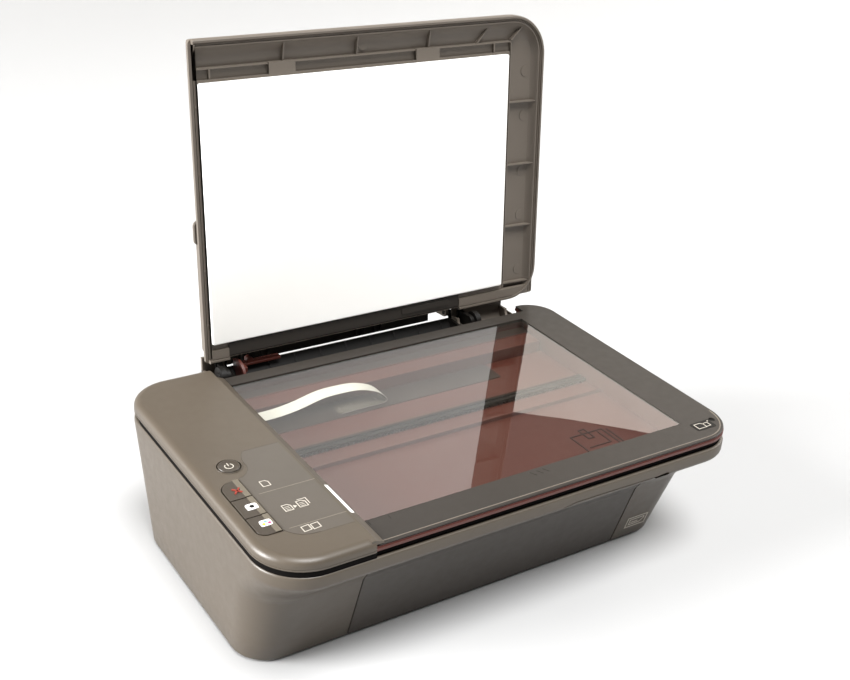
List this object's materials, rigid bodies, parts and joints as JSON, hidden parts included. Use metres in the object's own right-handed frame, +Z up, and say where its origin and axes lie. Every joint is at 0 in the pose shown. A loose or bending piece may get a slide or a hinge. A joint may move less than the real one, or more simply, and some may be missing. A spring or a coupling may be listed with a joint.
{
  "type": "inkjet printer",
  "caption": "All-in-one inkjet printer with a flatbed scanner under a hinged lid, button panel, fold-up rear paper support, fold-down output tray and a sliding print carriage.",
  "frame": {"origin": "centre of the whole object's width and depth as it stands, with the scanner lid and rear paper support open, at the table under its feet", "axes": "+Z up, +X to the right of a person facing the front, +Y to the back"},
  "size_m": [0.427, 0.351, 0.3951],
  "materials": {
    "shell": "satin",
    "bezel": "satin",
    "lid": "satin",
    "brown": "satin",
    "black": "satin",
    "grey": "satin",
    "white": "matte",
    "foam": "matte",
    "rubber": "matte",
    "steel": "brushed",
    "board": "satin",
    "glass": "polished"
  },
  "bodies": {
    "housing": {"lower_shell": "shell", "base_plate": "black", "foot_front_left": "rubber", "foot_front_right": "rubber", "foot_rear_left": "rubber", "foot_rear_right": "rubber", "groove_ring": "black", "scanner_tub": "brown", "scanner_bezel": "bezel", "scanner_glass": "glass", "control_panel": "shell", "control_board": "board", "scan_rail": "steel", "scan_ribbon": "white", "hinge_bracket_left": "black", "hinge_bracket_right": "black", "paper_chute": "black", "mechanism_frame": "steel", "carriage_rod": "steel", "encoder_strip": "grey", "platen": "black", "service_station": "grey", "carriage_motor": "steel", "feed_motor": "steel", "drive_belt": "rubber", "main_board": "board", "usb_socket": "steel", "power_inlet": "black"},
    "scanner_lid": {"lid_shell": "lid", "lid_liner": "lid", "lid_pad": "foam", "lid_hinge_left": "black", "lid_hinge_right": "black"},
    "input_flap": {"input_flap": "lid"},
    "width_guide": {"width_guide": "brown"},
    "output_tray": {"output_tray": "bezel"},
    "tray_extender": {"tray_extender": "bezel"},
    "cartridge_door": {"cartridge_door": "black"},
    "carriage": {"carriage": "grey", "black_cartridge": "black", "colour_cartridge": "black"},
    "scan_bar": {"scan_bar": "bezel", "scan_motor": "steel"},
    "power_button": {"power_button": "grey"},
    "cancel_button": {"cancel_button": "grey"},
    "mono_copy_button": {"mono_copy_button": "grey"},
    "colour_copy_button": {"colour_copy_button": "grey"},
    "feed_roller": {"feed_roller": "rubber", "feed_gear": "white"},
    "output_roller": {"output_roller": "rubber", "output_gear": "white"},
    "transfer_gear": {"transfer_gear": "white"},
    "pickup_idler": {"pickup_idler": "white"},
    "pickup_roller": {"pickup_roller": "rubber", "pickup_gear": "white"},
    "motor_pinion": {"motor_pinion": "white"},
    "pinch_rollers": {"pinch_rollers": "grey"},
    "star_wheels": {"star_wheels": "steel"},
    "motor_pulley": {"motor_pulley": "white"},
    "idler_pulley": {"idler_pulley": "white"}
  },
  "joints": [
    {"name": "lid_hinge", "type": "hinge", "parent": "housing", "child": "scanner_lid", "pos_m": [0, 0.10311, 0.1153], "axis": [1, 0, 0], "range_deg": [0, 95.3]},
    {"name": "input_flap_hinge", "type": "hinge", "parent": "housing", "child": "input_flap", "pos_m": [0, 0.12751, 0.117], "axis": [1, 0, 0], "range_deg": [0, 95.3]},
    {"name": "width_guide_slide", "type": "slide", "parent": "housing", "child": "width_guide", "axis": [1, 0, 0], "range_m": [0, 0.12]},
    {"name": "output_tray_hinge", "type": "hinge", "parent": "housing", "child": "output_tray", "pos_m": [0, -0.11639, 0.008], "axis": [1, 0, 0], "range_deg": [0, 60]},
    {"name": "tray_extender_slide", "type": "slide", "parent": "output_tray", "child": "tray_extender", "axis": [0, -0.2922, 0.9564], "range_m": [0, 0.045]},
    {"name": "cartridge_door_hinge", "type": "hinge", "parent": "housing", "child": "cartridge_door", "pos_m": [0, -0.11914, 0.04192], "axis": [1, 0, 0], "range_deg": [0, 40]},
    {"name": "carriage_slide", "type": "slide", "parent": "housing", "child": "carriage", "axis": [-1, 0, 0], "range_m": [0, 0.22]},
    {"name": "scan_bar_slide", "type": "slide", "parent": "housing", "child": "scan_bar", "axis": [1, 0, 0], "range_m": [0, 0.33], "deforming": ["scan_ribbon"]},
    {"name": "power_button_press", "type": "slide", "parent": "housing", "child": "power_button", "axis": [0, 0, -1], "range_m": [0, 0.0015], "stiffness_N_per_m": 400, "springref_m": -0.0005},
    {"name": "cancel_button_press", "type": "slide", "parent": "housing", "child": "cancel_button", "axis": [0, 0, -1], "range_m": [0, 0.0015], "stiffness_N_per_m": 400, "springref_m": -0.0005},
    {"name": "mono_copy_button_press", "type": "slide", "parent": "housing", "child": "mono_copy_button", "axis": [0, 0, -1], "range_m": [0, 0.0015], "stiffness_N_per_m": 400, "springref_m": -0.0005},
    {"name": "colour_copy_button_press", "type": "slide", "parent": "housing", "child": "colour_copy_button", "axis": [0, 0, -1], "range_m": [0, 0.0015], "stiffness_N_per_m": 400, "springref_m": -0.0005},
    {"name": "feed_roller_spin", "type": "hinge", "parent": "housing", "child": "feed_roller", "pos_m": [0, -0.00049, 0.024], "axis": [1, 0, 0], "continuous": true},
    {"name": "output_roller_spin", "type": "hinge", "parent": "housing", "child": "output_roller", "pos_m": [0, -0.06849, 0.024], "axis": [1, 0, 0], "continuous": true},
    {"name": "transfer_gear_spin", "type": "hinge", "parent": "housing", "child": "transfer_gear", "pos_m": [0, -0.03449, 0.024], "axis": [1, 0, 0], "continuous": true},
    {"name": "pickup_idler_spin", "type": "hinge", "parent": "housing", "child": "pickup_idler", "pos_m": [0, 0.03118, 0.04693], "axis": [1, 0, 0], "continuous": true},
    {"name": "pickup_roller_spin", "type": "hinge", "parent": "housing", "child": "pickup_roller", "pos_m": [0, 0.05735, 0.06587], "axis": [1, 0, 0], "continuous": true},
    {"name": "motor_pinion_spin", "type": "hinge", "parent": "housing", "child": "motor_pinion", "pos_m": [0, -0.00863, 0.04637], "axis": [1, 0, 0], "continuous": true},
    {"name": "pinch_roller_spin", "type": "hinge", "parent": "housing", "child": "pinch_rollers", "pos_m": [0, -0.00049, 0.0349], "axis": [1, 0, 0], "continuous": true},
    {"name": "star_wheel_spin", "type": "hinge", "parent": "housing", "child": "star_wheels", "pos_m": [0, -0.06849, 0.0344], "axis": [1, 0, 0], "continuous": true},
    {"name": "motor_pulley_spin", "type": "hinge", "parent": "housing", "child": "motor_pulley", "pos_m": [-0.128, 0.02451, 0.08], "axis": [0, 1, 0], "range_deg": [0, 1909.86]},
    {"name": "idler_pulley_spin", "type": "hinge", "parent": "housing", "child": "idler_pulley", "pos_m": [0.168, 0.02451, 0.08], "axis": [0, 1, 0], "range_deg": [0, 1909.86]}
  ],
  "couplings": [
    {"joint": "input_flap_hinge", "follows": "lid_hinge", "ratio": 1},
    {"joint": "tray_extender_slide", "follows": "output_tray_hinge", "m_per_rad": 0.042876},
    {"joint": "cartridge_door_hinge", "follows": "output_tray_hinge", "ratio": 0.66583},
    {"joint": "transfer_gear_spin", "follows": "feed_roller_spin", "ratio": -1},
    {"joint": "output_roller_spin", "follows": "feed_roller_spin", "ratio": 1},
    {"joint": "motor_pinion_spin", "follows": "feed_roller_spin", "ratio": -2.5},
    {"joint": "pickup_idler_spin", "follows": "feed_roller_spin", "ratio": -0.76923},
    {"joint": "pickup_roller_spin", "follows": "feed_roller_spin", "ratio": 1.6667},
    {"joint": "pinch_roller_spin", "follows": "feed_roller_spin", "ratio": -1.3333},
    {"joint": "star_wheel_spin", "follows": "feed_roller_spin", "ratio": -1.5},
    {"joint": "motor_pulley_spin", "follows": "carriage_slide", "rad_per_m": 151.47},
    {"joint": "idler_pulley_spin", "follows": "carriage_slide", "rad_per_m": 151.47}
  ]
}
